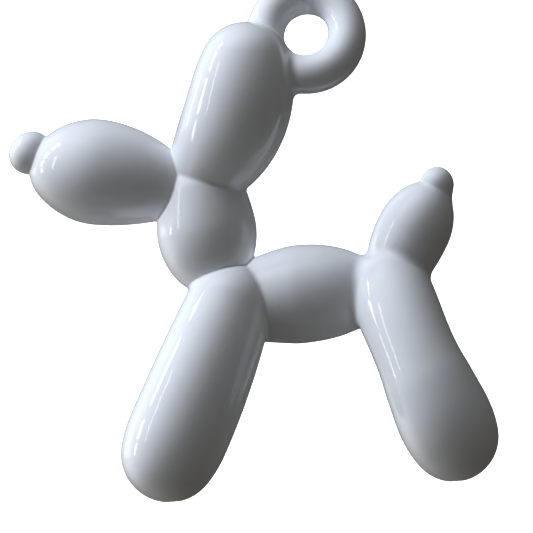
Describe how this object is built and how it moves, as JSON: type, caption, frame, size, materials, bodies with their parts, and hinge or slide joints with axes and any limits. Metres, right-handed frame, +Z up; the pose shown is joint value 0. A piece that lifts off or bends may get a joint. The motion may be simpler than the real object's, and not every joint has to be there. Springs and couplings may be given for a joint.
{
  "type": "balloon dog ornament",
  "caption": "Small glossy cast dog in the shape of a twisted balloon animal, standing on its feet, with a fat ring behind the ears to hang it by.",
  "frame": {"origin": "bottom centre of the bounding box, on the surface that the dog stands on", "axes": "+Z up, the dog faces -X, its plane of symmetry is the XZ plane, and only the loop leans out of it, with its top towards +Y"},
  "size_m": [0.0654, 0.0296, 0.072],
  "materials": {
    "white_gloss": "smooth high gloss, bluish white"
  },
  "bodies": {
    "root": {"balloon_dog": "white_gloss"}
  },
  "joints": []
}
